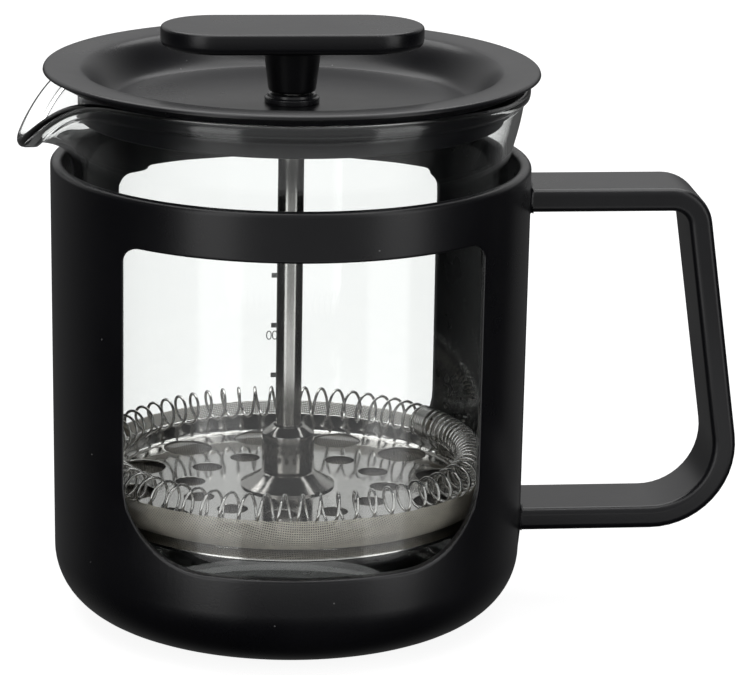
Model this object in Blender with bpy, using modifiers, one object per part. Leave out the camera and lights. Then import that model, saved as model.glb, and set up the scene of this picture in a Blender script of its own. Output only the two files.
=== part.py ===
"""A two-cup french press: plastic holder, glass beaker, lid, plunger and filter stack.

The origin is the centre of the base's resting face. +Z is up, +X runs towards the handle and the
pouring lip points to -X. Everything is in metres.
"""
import math

import bmesh
import bpy
from mathutils import Matrix

MM = 0.001
GAP = 0.3 * MM                      # clearance between pieces that touch

# Holder: a jacket with a closed base, two windows and a strap handle.
HOLDER_R = 46.0 * MM                # outer radius at the rim
HOLDER_BASE_R = 45.5 * MM           # outer radius just above the base's rounding
HOLDER_H = 89.0 * MM
HOLDER_WALL = 2.4 * MM
HOLDER_FLOOR = 2.6 * MM
HOLDER_BASE_ROUND = 12.25 * MM
WINDOW_HALF_WIDTH = 33.3 * MM
WINDOW_LOW = 19.2 * MM
WINDOW_HIGH = 79.5 * MM
WINDOW_LOW_ROUND = 14.5 * MM
WINDOW_HIGH_ROUND = 2.8 * MM

HANDLE_DEPTH = 16.5 * MM
HANDLE_THICK = 4.6 * MM
HANDLE_START_X = 44.3 * MM          # inside the jacket's wall
HANDLE_TOP = 84.2 * MM
HANDLE_LOW = 15.6 * MM
GRIP_TOP_X = 80.0 * MM              # outer face of the grip, carried up to the top face
GRIP_LOW_X = 90.1 * MM              # the same face, carried down to the bottom face
GRIP_TOP_ROUND = 8.0 * MM
GRIP_LOW_ROUND = 16.5 * MM
HANDLE_EDGE = 1.1 * MM

# Glass beaker.
GLASS_R = 41.5 * MM
GLASS_WALL = 1.5 * MM
GLASS_LOW = HOLDER_FLOOR + GAP
GLASS_HIGH = 104.6 * MM
GLASS_RIM_R = 46.2 * MM
GLASS_BASE_ROUND = 9.0 * MM
FLARE_LOW = 84.0 * MM               # height where the wall starts to lean outwards
LIP_TIP_R = 51.7 * MM
LIP_TIP_Z = 92.6 * MM
LIP_HALF_ANGLE = math.radians(42.75)
LIP_OUT_POWER = 2.7                 # how narrow the lip's outward pull is
LIP_DOWN_POWER = 4.2                # how narrow its downward pull is
LIP_SQUARENESS = 3.5                # exponent of the lip's superelliptic section

# Lid.
LID_R = 47.3 * MM
LID_TOP = 107.0 * MM
LID_RING_LOW = 105.0 * MM
LID_RING_INNER_R = 40.6 * MM
LID_FLOOR_R = 34.8 * MM
LID_FLOOR_TOP = 99.9 * MM
LID_FLOOR_LOW = 98.3 * MM
LID_SKIRT_R = 40.7 * MM
LID_SKIRT_WALL = 1.4 * MM
LID_SKIRT_LOW = 97.9 * MM
LID_HOLE_R = 4.5 * MM
LID_EDGE = 0.9 * MM
LID_RING_DIP = 0.5 * MM             # how much lower the ring is at its inner side
LID_WALL_RISE = 2.4 * MM            # height of the slope between the skirt and the floor's underside
LID_WALL_RUN = 1.2 * MM
VENT_R = 0.9 * MM
VENT_DISTANCE = 31.0 * MM
VENT_ANGLE = math.radians(-22)

BUSH_FLANGE_R = 5.25 * MM
BUSH_TOP = 101.7 * MM
BUSH_LOW = 96.6 * MM
BUSH_CHAMFER = 0.5 * MM

# Knob and rod.
KNOB_LENGTH = 50.2 * MM
KNOB_WIDTH = 22.0 * MM
KNOB_LOW = 110.7 * MM
KNOB_TOP = 114.8 * MM
KNOB_EDGE = 1.3 * MM
STEM_TOP_R = 5.6 * MM
STEM_LOW_R = 4.6 * MM
STEM_LOW_EDGE = 0.7 * MM
STEM_LOW = BUSH_TOP + GAP
STEM_BORE_R = 3.2 * MM
STEM_BORE_TOP = 110.6 * MM
ROD_R = 2.5 * MM
ROD_LOW = 16.9 * MM
ROD_SHOULDER = 103.0 * MM
SPIGOT_R = 1.7 * MM
SPIGOT_TOP = 110.0 * MM
ROD_CHAMFER = 0.4 * MM
ROD_HOLE_R = ROD_R + GAP

# Filter stack, from the top down.
SLEEVE_R = 5.1 * MM
SLEEVE_TOP = 35.9 * MM
SLEEVE_SHOULDER = 34.4 * MM
SLEEVE_LOW = 27.0 * MM
CONE_LOW_R = 9.2 * MM
CONE_LOW = 24.0 * MM
CONE_EDGE = 0.3 * MM
CONE_NECK_RUN = 1.0 * MM
CONE_NECK_DROP = 1.2 * MM
SPIRAL_TOP = 23.7 * MM
SPIRAL_LOW = 23.2 * MM
SPIRAL_FLAT_R = 36.0 * MM
SPIRAL_RIM_R = 38.6 * MM
SPIRAL_RIM_Z = 27.0 * MM
LARGE_HOLE_R = 4.9 * MM
LARGE_HOLE_RING_R = 30.9 * MM
LARGE_HOLE_FIRST = math.radians(6.3)
SMALL_HOLE_R = 2.95 * MM
SMALL_HOLE_RING_R = 19.1 * MM
SMALL_HOLE_FIRST = math.radians(-8.1)
HOLES_PER_RING = 12
COIL_RING_R = 35.9 * MM
COIL_Z = 29.9 * MM
COIL_R = 2.95 * MM
COIL_WIRE_R = 0.3 * MM
COIL_TURNS = 42
COIL_POINTS_PER_TURN = 7
MESH_R = 39.75 * MM
MESH_WALL = 0.3 * MM
MESH_LOW = 22.6 * MM
MESH_HIGH = 29.0 * MM
MESH_ROUND = 3.0 * MM
CROSS_TOP = 22.3 * MM
CROSS_LOW = 21.8 * MM
CROSS_FLAT_R = 35.8 * MM
CROSS_RIM_R = 38.6 * MM
CROSS_RIM_Z = 20.6 * MM
CROSS_HOLE_R = 6.2 * MM
CROSS_HOLE_RING_R = 24.5 * MM
CROSS_HOLES = 8
NUT_ACROSS_FLATS = 9.0 * MM
NUT_LOW = 17.5 * MM
NUT_TOP = 21.5 * MM

MATERIALS = {
    "black_plastic": ((0.018, 0.018, 0.021), 0.42, 0.0),
    "glass": ((0.95, 0.98, 0.97), 0.02, 0.0),
    "bush_plastic": ((0.03, 0.03, 0.034), 0.22, 0.0),
    "polished_steel": ((0.72, 0.71, 0.69), 0.12, 1.0),
    "brushed_steel": ((0.55, 0.54, 0.52), 0.32, 1.0),
    "steel_mesh": ((0.45, 0.43, 0.40), 0.5, 1.0),
    "brass": ((0.70, 0.55, 0.28), 0.35, 1.0),
}


def clear_scene():
    for obj in list(bpy.data.objects):
        bpy.data.objects.remove(obj, do_unlink=True)


def new_collection(name):
    collection = bpy.data.collections.new(name)
    bpy.context.scene.collection.children.link(collection)
    return collection


def material(name):
    found = bpy.data.materials.get(name)
    if found:
        return found
    colour, roughness, metallic = MATERIALS[name]
    made = bpy.data.materials.new(name)
    made.use_nodes = True
    shader = made.node_tree.nodes["Principled BSDF"]
    shader.inputs["Base Color"].default_value = (*colour, 1.0)
    shader.inputs["Roughness"].default_value = roughness
    shader.inputs["Metallic"].default_value = metallic
    return made


def add_object(name, data, collection, slot=None):
    obj = bpy.data.objects.new(name, data)
    collection.objects.link(obj)
    if slot:
        data.materials.append(material(slot))
    return obj


def baked(obj):
    """Replace an object's mesh or curve by its evaluated mesh and drop its modifiers."""
    bpy.context.view_layer.update()
    evaluated = obj.evaluated_get(bpy.context.evaluated_depsgraph_get())
    mesh = bpy.data.meshes.new_from_object(evaluated)
    name = obj.name
    collection = obj.users_collection[0]
    matrix = obj.matrix_world.copy()
    bpy.data.objects.remove(obj, do_unlink=True)
    made = bpy.data.objects.new(name, mesh)
    made.matrix_world = matrix
    collection.objects.link(made)
    return made


def smooth(obj, degrees=35):
    obj.data.shade_smooth()
    obj.data.set_sharp_from_angle(angle=math.radians(degrees))


def arc(centre_x, centre_z, radius, start, end, steps):
    """Points of an arc in the XZ plane; angles in degrees from +X towards +Z."""
    points = []
    for step in range(steps + 1):
        angle = math.radians(start + (end - start) * step / steps)
        points.append((centre_x + radius * math.cos(angle), centre_z + radius * math.sin(angle)))
    return points


def turned(name, profile, collection, slot=None, steps=64, closed=False, origin_z=0.0):
    """Turn an (r, z) profile round the Z axis. Its outer side runs from the top down."""
    mesh = bpy.data.meshes.new(name)
    points = [(radius, 0.0, height - origin_z) for radius, height in profile]
    edges = [(index, index + 1) for index in range(len(points) - 1)]
    if closed:
        edges.append((len(points) - 1, 0))
    mesh.from_pydata(points, edges, [])
    obj = add_object(name, mesh, collection, slot)
    obj.location.z = origin_z
    screw = obj.modifiers.new("turn", "SCREW")
    screw.steps = steps
    screw.render_steps = steps
    screw.use_merge_vertices = True
    screw.merge_threshold = 0.00001
    return obj


def extruded(name, outline, depth, collection, slot=None):
    """Extrude an outline drawn in the XZ plane, centred on y = 0."""
    mesh = bpy.data.meshes.new(name)
    build = bmesh.new()
    verts = [build.verts.new((x, -depth / 2, z)) for x, z in outline]
    build.faces.new(verts)
    swept = bmesh.ops.extrude_face_region(build, geom=list(build.faces))
    moved = [item for item in swept["geom"] if isinstance(item, bmesh.types.BMVert)]
    bmesh.ops.translate(build, vec=(0.0, depth, 0.0), verts=moved)
    bmesh.ops.recalc_face_normals(build, faces=list(build.faces))
    build.to_mesh(mesh)
    build.free()
    return add_object(name, mesh, collection, slot)


def post(name, radius, low, high, collection, x=0.0, y=0.0, sides=20):
    """A closed upright cylinder, for use as a cutter."""
    mesh = bpy.data.meshes.new(name)
    build = bmesh.new()
    place = Matrix.Translation((x, y, (low + high) / 2))
    bmesh.ops.create_cone(build, cap_ends=True, segments=sides, radius1=radius, radius2=radius,
                          depth=high - low, matrix=place)
    build.to_mesh(mesh)
    build.free()
    return add_object(name, mesh, collection)


def as_cutter(obj):
    obj.hide_render = True
    obj.display_type = "WIRE"
    return obj


def boolean(obj, other, operation):
    modifier = obj.modifiers.new(other.name, "BOOLEAN")
    modifier.operation = operation
    modifier.object = other
    modifier.solver = "EXACT"


def ring_of_holes(obj, prefix, count, ring_radius, hole_radius, first_angle, low, high, sides, cutters):
    """Cut equal round holes on a circle with one joined cutter of separate posts."""
    mesh = bpy.data.meshes.new(prefix)
    build = bmesh.new()
    for index in range(count):
        angle = first_angle + 2 * math.pi * index / count
        x = ring_radius * math.cos(angle)
        y = ring_radius * math.sin(angle)
        place = Matrix.Translation((x, y, (low + high) / 2))
        bmesh.ops.create_cone(build, cap_ends=True, segments=sides, radius1=hole_radius, radius2=hole_radius,
                              depth=high - low, matrix=place)
    build.to_mesh(mesh)
    build.free()
    cutter = as_cutter(add_object(prefix, mesh, cutters))
    boolean(obj, cutter, "DIFFERENCE")


def holder_profile():
    """Closed jacket section: outer side down, base, then up the inside, with a rounded lip."""
    lip = HOLDER_WALL / 2
    outer = arc(HOLDER_R - lip, HOLDER_H - lip, lip, 90, 0, 3)
    outer += arc(HOLDER_BASE_R - HOLDER_BASE_ROUND, HOLDER_BASE_ROUND, HOLDER_BASE_ROUND, 0, -90, 7)
    outer.append((0.0, 0.0))
    inner_round = HOLDER_BASE_ROUND - HOLDER_WALL
    inner_x = HOLDER_BASE_R - HOLDER_BASE_ROUND
    inner = [(0.0, HOLDER_FLOOR)]
    inner += arc(inner_x, HOLDER_FLOOR + inner_round, inner_round, -90, 0, 5)
    lip_inner = arc(HOLDER_R - lip, HOLDER_H - lip, lip, 180, 90, 3)
    return inner + lip_inner + outer[1:]


def window_outline():
    low = WINDOW_LOW_ROUND
    high = WINDOW_HIGH_ROUND
    side = WINDOW_HALF_WIDTH
    outline = arc(side - low, WINDOW_LOW + low, low, -90, 0, 8)
    outline += arc(side - high, WINDOW_HIGH - high, high, 0, 90, 4)
    outline += arc(high - side, WINDOW_HIGH - high, high, 90, 180, 4)
    outline += arc(low - side, WINDOW_LOW + low, low, 180, 270, 8)
    return outline


def rounded_corner(before, corner, after, radius, steps):
    """Points of an arc that rounds the corner of a path drawn in the XZ plane."""
    to_before = (before[0] - corner[0], before[1] - corner[1])
    to_after = (after[0] - corner[0], after[1] - corner[1])
    length_before = math.hypot(*to_before)
    length_after = math.hypot(*to_after)
    unit_before = (to_before[0] / length_before, to_before[1] / length_before)
    unit_after = (to_after[0] / length_after, to_after[1] / length_after)
    between = math.acos(unit_before[0] * unit_after[0] + unit_before[1] * unit_after[1])
    reach = radius / math.tan(between / 2)
    middle = (unit_before[0] + unit_after[0], unit_before[1] + unit_after[1])
    middle_length = math.hypot(*middle)
    away = radius / math.sin(between / 2)
    centre = (corner[0] + middle[0] / middle_length * away, corner[1] + middle[1] / middle_length * away)
    first = (corner[0] + unit_before[0] * reach, corner[1] + unit_before[1] * reach)
    last = (corner[0] + unit_after[0] * reach, corner[1] + unit_after[1] * reach)
    start = math.atan2(first[1] - centre[1], first[0] - centre[0])
    end = math.atan2(last[1] - centre[1], last[0] - centre[0])
    turn = (end - start + math.pi) % (2 * math.pi) - math.pi
    points = []
    for step in range(steps + 1):
        angle = start + turn * step / steps
        points.append((centre[0] + radius * math.cos(angle), centre[1] + radius * math.sin(angle)))
    return points


def handle_outline():
    """The handle's side view: outer path out and down, then the inner path back up."""
    lean = (GRIP_LOW_X - GRIP_TOP_X) / (HANDLE_TOP - HANDLE_LOW)
    across = HANDLE_THICK * math.hypot(1.0, lean)
    top_inner = HANDLE_TOP - HANDLE_THICK
    low_inner = HANDLE_LOW + HANDLE_THICK
    start_top = (HANDLE_START_X, HANDLE_TOP)
    start_low = (HANDLE_START_X, HANDLE_LOW)
    outer_top = (GRIP_TOP_X, HANDLE_TOP)
    outer_low = (GRIP_LOW_X, HANDLE_LOW)
    inner_start_top = (HANDLE_START_X, top_inner)
    inner_start_low = (HANDLE_START_X, low_inner)
    inner_top = (GRIP_TOP_X + lean * HANDLE_THICK - across, top_inner)
    inner_low = (GRIP_LOW_X - lean * HANDLE_THICK - across, low_inner)
    outline = [start_top]
    outline += rounded_corner(start_top, outer_top, outer_low, GRIP_TOP_ROUND, 6)
    outline += rounded_corner(outer_top, outer_low, start_low, GRIP_LOW_ROUND, 9)
    outline += [start_low, inner_start_low]
    outline += rounded_corner(inner_start_low, inner_low, inner_top, GRIP_LOW_ROUND - HANDLE_THICK, 8)
    outline += rounded_corner(inner_low, inner_top, inner_start_top, GRIP_TOP_ROUND - HANDLE_THICK, 4)
    outline.append(inner_start_top)
    return outline


def make_holder(parts, cutters):
    jacket = turned("holder", holder_profile(), parts, "black_plastic", steps=60)
    window = as_cutter(extruded("window_cutter", window_outline(), 4 * HOLDER_R, cutters))
    boolean(jacket, window, "DIFFERENCE")
    handle = extruded("handle_blank", handle_outline(), HANDLE_DEPTH, cutters)
    edge = handle.modifiers.new("edge", "BEVEL")
    edge.width = HANDLE_EDGE
    edge.segments = 1
    edge.angle_limit = math.radians(60)
    handle = as_cutter(baked(handle))
    boolean(jacket, handle, "UNION")
    smooth(jacket)
    return jacket


def glass_profile():
    """Outer side of the beaker, from the rim down to the middle of the base."""
    points = []
    steps = 7
    for step in range(steps + 1):
        rise = 1.0 - step / steps
        height = FLARE_LOW + (GLASS_HIGH - FLARE_LOW) * rise
        points.append((GLASS_R + (GLASS_RIM_R - GLASS_R) * flare(rise), height))
    points += arc(GLASS_R - GLASS_BASE_ROUND, GLASS_LOW + GLASS_BASE_ROUND, GLASS_BASE_ROUND, 0, -90, 5)
    points.append((0.0, GLASS_LOW))
    return points


def flare(rise):
    """How far the wall leans out, from 0 at the start of the flare to 1 at the rim."""
    return (1.0 - math.cos(math.pi * rise)) / 4 + rise / 2


def lip_shape(rise):
    """Radius and height of the lip's middle line: a squarish quarter turn from upright to level."""
    angle = math.pi / 2 * min(1.0, rise)
    out = 1.0 - max(0.0, math.cos(angle)) ** (2 / LIP_SQUARENESS)
    up = math.sin(angle) ** (2 / LIP_SQUARENESS)
    radius = GLASS_R + (LIP_TIP_R - GLASS_R) * out
    height = FLARE_LOW + (LIP_TIP_Z - FLARE_LOW) * up
    return radius, height


def pull_lip(mesh):
    """Draw the rim out and down into the pouring lip that points to -X."""
    for vertex in mesh.vertices:
        x, y, z = vertex.co
        rise = (z + GLASS_LOW - FLARE_LOW) / (GLASS_HIGH - FLARE_LOW)
        turn = abs(math.atan2(y, -x))
        if rise <= 0.0 or turn >= LIP_HALF_ANGLE:
            continue
        share = math.cos(math.pi / 2 * turn / LIP_HALF_ANGLE)
        radius, height = lip_shape(rise)
        here = math.hypot(x, y)
        new_radius = here + (radius - here) * share ** LIP_OUT_POWER
        vertex.co.x = x * new_radius / here
        vertex.co.y = y * new_radius / here
        vertex.co.z = z + (height - GLASS_LOW - z) * share ** LIP_DOWN_POWER


def make_beaker(parts):
    beaker = turned("glass_beaker", glass_profile(), parts, steps=60, origin_z=GLASS_LOW)
    beaker = baked(beaker)
    beaker.data.materials.append(material("glass"))
    pull_lip(beaker.data)
    wall = beaker.modifiers.new("wall", "SOLIDIFY")
    wall.thickness = GLASS_WALL
    wall.offset = -1.0
    wall.use_even_offset = True
    wall.use_quality_normals = True
    smooth(beaker)
    return beaker


def lid_profile():
    """Closed section of the dished lid, starting at the rod hole and running out over the top."""
    points = [(LID_HOLE_R, LID_FLOOR_TOP)]
    wall_top = LID_TOP - LID_RING_DIP
    steps = 5
    for step in range(steps + 1):
        share = step / steps
        rise = (1.0 - math.cos(math.pi * share)) / 2
        radius = LID_FLOOR_R + (LID_RING_INNER_R - LID_FLOOR_R) * share
        points.append((radius, LID_FLOOR_TOP + (wall_top - LID_FLOOR_TOP) * rise))
    points += arc(LID_R - LID_EDGE, LID_TOP - LID_EDGE, LID_EDGE, 90, 0, 2)
    points.append((LID_R, LID_RING_LOW))
    points.append((LID_SKIRT_R, LID_RING_LOW))
    points.append((LID_SKIRT_R, LID_SKIRT_LOW))
    points.append((LID_SKIRT_R - LID_SKIRT_WALL, LID_SKIRT_LOW))
    points.append((LID_SKIRT_R - LID_SKIRT_WALL, LID_FLOOR_LOW + LID_WALL_RISE))
    points.append((LID_FLOOR_R + LID_WALL_RUN, LID_FLOOR_LOW))
    points.append((LID_HOLE_R, LID_FLOOR_LOW))
    return points


def make_lid(parts, cutters):
    lid = turned("lid", lid_profile(), parts, "black_plastic", steps=48, closed=True, origin_z=LID_RING_LOW)
    vent_x = VENT_DISTANCE * math.cos(VENT_ANGLE)
    vent_y = VENT_DISTANCE * math.sin(VENT_ANGLE)
    vent = post("vent_cutter", VENT_R, LID_FLOOR_LOW - MM, LID_FLOOR_TOP + MM, cutters, vent_x, vent_y, 12)
    boolean(lid, as_cutter(vent), "DIFFERENCE")
    smooth(lid)
    bush_profile = [
        (ROD_HOLE_R, BUSH_TOP), (BUSH_FLANGE_R - BUSH_CHAMFER, BUSH_TOP),
        (BUSH_FLANGE_R, BUSH_TOP - BUSH_CHAMFER),
        (BUSH_FLANGE_R, LID_FLOOR_TOP + GAP), (LID_HOLE_R - GAP, LID_FLOOR_TOP + GAP),
        (LID_HOLE_R - GAP, BUSH_LOW), (ROD_HOLE_R, BUSH_LOW),
    ]
    bush = turned("lid_bush", bush_profile, parts, "bush_plastic", steps=24, closed=True, origin_z=BUSH_LOW)
    smooth(bush)


def stadium(length, width, steps):
    end = width / 2
    half = length / 2 - end
    return arc(half, 0.0, end, -90, 90, steps) + arc(-half, 0.0, end, 90, 270, steps)


def make_knob(parts, cutters):
    """Oval plate with a tapered stem under it and a blind bore for the threaded insert."""
    outline = stadium(KNOB_LENGTH, KNOB_WIDTH, 14)
    plate = extruded("knob", outline, KNOB_TOP - KNOB_LOW, parts, "black_plastic")
    plate.data.transform(Matrix.Rotation(math.pi / 2, 4, "X"))
    plate.location.z = (KNOB_TOP + KNOB_LOW) / 2
    edge = plate.modifiers.new("edge", "BEVEL")
    edge.width = KNOB_EDGE
    edge.segments = 3
    edge.angle_limit = math.radians(60)
    overlap = 1.0 * MM
    stem_profile = [
        (0.0, KNOB_LOW + overlap), (STEM_TOP_R, KNOB_LOW + overlap), (STEM_TOP_R, KNOB_LOW),
        (STEM_LOW_R, STEM_LOW + STEM_LOW_EDGE), (STEM_LOW_R - STEM_LOW_EDGE, STEM_LOW), (0.0, STEM_LOW),
    ]
    stem = as_cutter(turned("stem_blank", stem_profile, cutters, steps=24))
    boolean(plate, stem, "UNION")
    bore = as_cutter(post("stem_bore", STEM_BORE_R, STEM_LOW - MM, STEM_BORE_TOP, cutters))
    boolean(plate, bore, "DIFFERENCE")
    smooth(plate)
    insert_profile = [
        (SPIGOT_R + GAP, SPIGOT_TOP + GAP), (STEM_BORE_R - GAP, SPIGOT_TOP + GAP),
        (STEM_BORE_R - GAP, ROD_SHOULDER + GAP), (SPIGOT_R + GAP, ROD_SHOULDER + GAP),
    ]
    insert = turned("knob_insert", insert_profile, parts, "brass", steps=20, closed=True,
                    origin_z=ROD_SHOULDER)
    smooth(insert)


def make_rod(parts):
    chamfer = ROD_CHAMFER
    profile = [
        (0.0, SPIGOT_TOP), (SPIGOT_R, SPIGOT_TOP), (SPIGOT_R, ROD_SHOULDER),
        (ROD_R - chamfer, ROD_SHOULDER), (ROD_R, ROD_SHOULDER - chamfer),
        (ROD_R, ROD_LOW + chamfer), (ROD_R - chamfer, ROD_LOW), (0.0, ROD_LOW),
    ]
    smooth(turned("plunger_rod", profile, parts, "polished_steel", steps=24, origin_z=ROD_LOW))
    sleeve_profile = [
        (ROD_HOLE_R, SLEEVE_TOP), (ROD_HOLE_R + chamfer, SLEEVE_TOP), (SLEEVE_R, SLEEVE_SHOULDER),
        (SLEEVE_R, SLEEVE_LOW + chamfer), (SLEEVE_R - chamfer, SLEEVE_LOW), (ROD_HOLE_R, SLEEVE_LOW),
    ]
    sleeve = turned("lock_sleeve", sleeve_profile, parts, "brushed_steel", steps=24, closed=True,
                    origin_z=SLEEVE_LOW)
    smooth(sleeve)


def make_hub(parts):
    cone_top = SLEEVE_LOW - GAP
    profile = [
        (ROD_HOLE_R, cone_top), (SLEEVE_R, cone_top), (SLEEVE_R + CONE_NECK_RUN, cone_top - CONE_NECK_DROP),
        (CONE_LOW_R, CONE_LOW + CONE_EDGE), (CONE_LOW_R, CONE_LOW), (ROD_HOLE_R, CONE_LOW),
    ]
    smooth(turned("hub_cone", profile, parts, "brushed_steel", steps=24, closed=True, origin_z=CONE_LOW))


def make_plates(parts, cutters):
    sheet = SPIRAL_TOP - SPIRAL_LOW
    profile = [
        (ROD_HOLE_R, SPIRAL_TOP), (SPIRAL_FLAT_R, SPIRAL_TOP), (SPIRAL_RIM_R - sheet, SPIRAL_RIM_Z),
        (SPIRAL_RIM_R, SPIRAL_RIM_Z), (SPIRAL_FLAT_R + 0.2 * MM, SPIRAL_LOW), (ROD_HOLE_R, SPIRAL_LOW),
    ]
    spiral = turned("spiral_plate", profile, parts, "polished_steel", steps=48, closed=True)
    ring_of_holes(spiral, "large_holes", HOLES_PER_RING, LARGE_HOLE_RING_R, LARGE_HOLE_R,
                  LARGE_HOLE_FIRST, SPIRAL_LOW - MM, SPIRAL_TOP + MM, 12, cutters)
    ring_of_holes(spiral, "small_holes", HOLES_PER_RING, SMALL_HOLE_RING_R, SMALL_HOLE_R,
                  SMALL_HOLE_FIRST, SPIRAL_LOW - MM, SPIRAL_TOP + MM, 10, cutters)
    smooth(spiral)
    sheet = CROSS_TOP - CROSS_LOW
    profile = [
        (ROD_HOLE_R, CROSS_TOP), (CROSS_FLAT_R, CROSS_TOP), (CROSS_RIM_R, CROSS_RIM_Z + sheet),
        (CROSS_RIM_R, CROSS_RIM_Z), (CROSS_RIM_R - sheet, CROSS_RIM_Z), (CROSS_FLAT_R - sheet, CROSS_LOW),
        (ROD_HOLE_R, CROSS_LOW),
    ]
    cross = turned("cross_plate", profile, parts, "polished_steel", steps=48, closed=True)
    ring_of_holes(cross, "cross_holes", CROSS_HOLES, CROSS_HOLE_RING_R, CROSS_HOLE_R,
                  0.0, CROSS_LOW - MM, CROSS_TOP + MM, 14, cutters)
    smooth(cross)


def make_mesh_filter(parts):
    """The woven screen as a thin dish; its upturned wall stands outside the coil."""
    inner_r = MESH_R - MESH_WALL
    inner_round = MESH_ROUND - MESH_WALL
    profile = [(ROD_HOLE_R, MESH_LOW + MESH_WALL)]
    profile += arc(inner_r - inner_round, MESH_LOW + MESH_ROUND, inner_round, -90, 0, 3)
    profile += [(inner_r, MESH_HIGH), (MESH_R, MESH_HIGH)]
    profile += arc(MESH_R - MESH_ROUND, MESH_LOW + MESH_ROUND, MESH_ROUND, 0, -90, 3)
    profile.append((ROD_HOLE_R, MESH_LOW))
    smooth(turned("mesh_filter", profile, parts, "steel_mesh", steps=60, closed=True))


def make_coil(parts):
    """One endless wire wound round a ring, as a closed tube along a toroidal helix."""
    curve = bpy.data.curves.new("coil_spring", "CURVE")
    curve.dimensions = "3D"
    spline = curve.splines.new("POLY")
    count = COIL_TURNS * COIL_POINTS_PER_TURN
    spline.points.add(count - 1)
    for index in range(count):
        around = 2 * math.pi * index / count
        wind = around * COIL_TURNS
        radius = COIL_RING_R + COIL_R * math.cos(wind)
        height = COIL_Z + COIL_R * math.sin(wind)
        spline.points[index].co = (radius * math.cos(around), radius * math.sin(around), height, 1.0)
    spline.use_cyclic_u = True
    curve.bevel_depth = COIL_WIRE_R
    curve.bevel_resolution = 0
    curve.render_resolution_u = 0
    coil = add_object("coil_spring", curve, parts)
    coil = baked(coil)
    coil.data.materials.append(material("polished_steel"))
    smooth(coil, 60)


def make_fixing_nut(parts, cutters):
    mesh = bpy.data.meshes.new("fixing_nut")
    build = bmesh.new()
    corner_r = NUT_ACROSS_FLATS / 2 / math.cos(math.pi / 6)
    bmesh.ops.create_cone(build, cap_ends=True, segments=6, radius1=corner_r, radius2=corner_r,
                          depth=NUT_TOP - NUT_LOW)
    build.to_mesh(mesh)
    build.free()
    nut = add_object("fixing_nut", mesh, parts, "brushed_steel")
    nut.location.z = (NUT_TOP + NUT_LOW) / 2
    bore = as_cutter(post("nut_bore", ROD_HOLE_R, NUT_LOW - MM, NUT_TOP + MM, cutters))
    boolean(nut, bore, "DIFFERENCE")


def main():
    clear_scene()
    parts = new_collection("french_press")
    cutters = new_collection("cutters")
    make_holder(parts, cutters)
    make_beaker(parts)
    make_lid(parts, cutters)
    make_knob(parts, cutters)
    make_rod(parts)
    make_hub(parts)
    make_plates(parts, cutters)
    make_mesh_filter(parts)
    make_coil(parts)
    make_fixing_nut(parts, cutters)


main()
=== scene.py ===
"""The looks of the two-cup french press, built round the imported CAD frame. All sizes are in metres."""
import math

import bmesh
import bpy
import numpy as np
from mathutils import Matrix, Vector


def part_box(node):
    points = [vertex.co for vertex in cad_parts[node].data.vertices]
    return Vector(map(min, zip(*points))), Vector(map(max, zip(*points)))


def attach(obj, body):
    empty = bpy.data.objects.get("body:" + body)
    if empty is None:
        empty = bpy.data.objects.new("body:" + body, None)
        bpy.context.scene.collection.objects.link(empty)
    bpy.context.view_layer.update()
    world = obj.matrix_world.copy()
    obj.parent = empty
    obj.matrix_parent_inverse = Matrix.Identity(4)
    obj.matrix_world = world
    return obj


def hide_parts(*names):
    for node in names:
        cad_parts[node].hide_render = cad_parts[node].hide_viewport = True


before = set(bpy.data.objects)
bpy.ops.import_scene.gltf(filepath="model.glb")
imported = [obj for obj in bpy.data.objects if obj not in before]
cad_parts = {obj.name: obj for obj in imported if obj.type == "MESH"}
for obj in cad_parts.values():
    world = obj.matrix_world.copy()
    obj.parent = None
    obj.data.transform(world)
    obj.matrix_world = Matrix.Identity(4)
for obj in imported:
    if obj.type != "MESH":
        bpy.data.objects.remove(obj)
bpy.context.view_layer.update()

MM = 0.001
TURN = 2 * math.pi

HOLDER_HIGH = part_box("holder")[1]
GLASS_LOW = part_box("glass_beaker")[0]
LID_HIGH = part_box("lid")[1]
BUSH_LOW, BUSH_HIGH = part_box("lid_bush")
KNOB_LOW, KNOB_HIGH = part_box("knob")
ROD_LOW, ROD_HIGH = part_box("plunger_rod")
SLEEVE_LOW, SLEEVE_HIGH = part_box("lock_sleeve")
CONE_LOW, CONE_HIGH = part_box("hub_cone")
SPIRAL_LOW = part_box("spiral_plate")[0]
COIL_LOW, COIL_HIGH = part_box("coil_spring")
MESH_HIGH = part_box("mesh_filter")[1]
CROSS_LOW, CROSS_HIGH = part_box("cross_plate")
NUT_LOW, NUT_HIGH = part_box("fixing_nut")

# ---------------------------------------------------------------------------------------------
# Node trees


def new_material(name):
    """A material with its Principled shader; returns material, tree and shader."""
    made = bpy.data.materials.new(name)
    made.use_nodes = True
    tree = made.node_tree
    return made, tree, tree.nodes["Principled BSDF"]


def node(tree, kind, inputs=None, **settings):
    """Add a node; inputs are values or other nodes' output sockets, by name or index."""
    made = tree.nodes.new(kind)
    for key, value in settings.items():
        setattr(made, key, value)
    for key, value in (inputs or {}).items():
        if isinstance(value, bpy.types.NodeSocket):
            tree.links.new(value, made.inputs[key])
        else:
            made.inputs[key].default_value = value
    return made


def maths(tree, operation, first, second=0.0, clamp=False):
    made = node(tree, "ShaderNodeMath", {0: first, 1: second}, operation=operation, use_clamp=clamp)
    return made.outputs[0]


def ramp(tree, value, stops):
    """A colour ramp; stops are (position, colour or grey) pairs."""
    made = node(tree, "ShaderNodeValToRGB", {"Fac": value})
    elements = made.color_ramp.elements
    while len(elements) < len(stops):
        elements.new(0.5)
    for element, (position, colour) in zip(elements, stops):
        element.position = position
        grey = isinstance(colour, (int, float))
        element.color = (colour, colour, colour, 1.0) if grey else (*colour, 1.0)
    return made.outputs["Color"]


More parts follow.
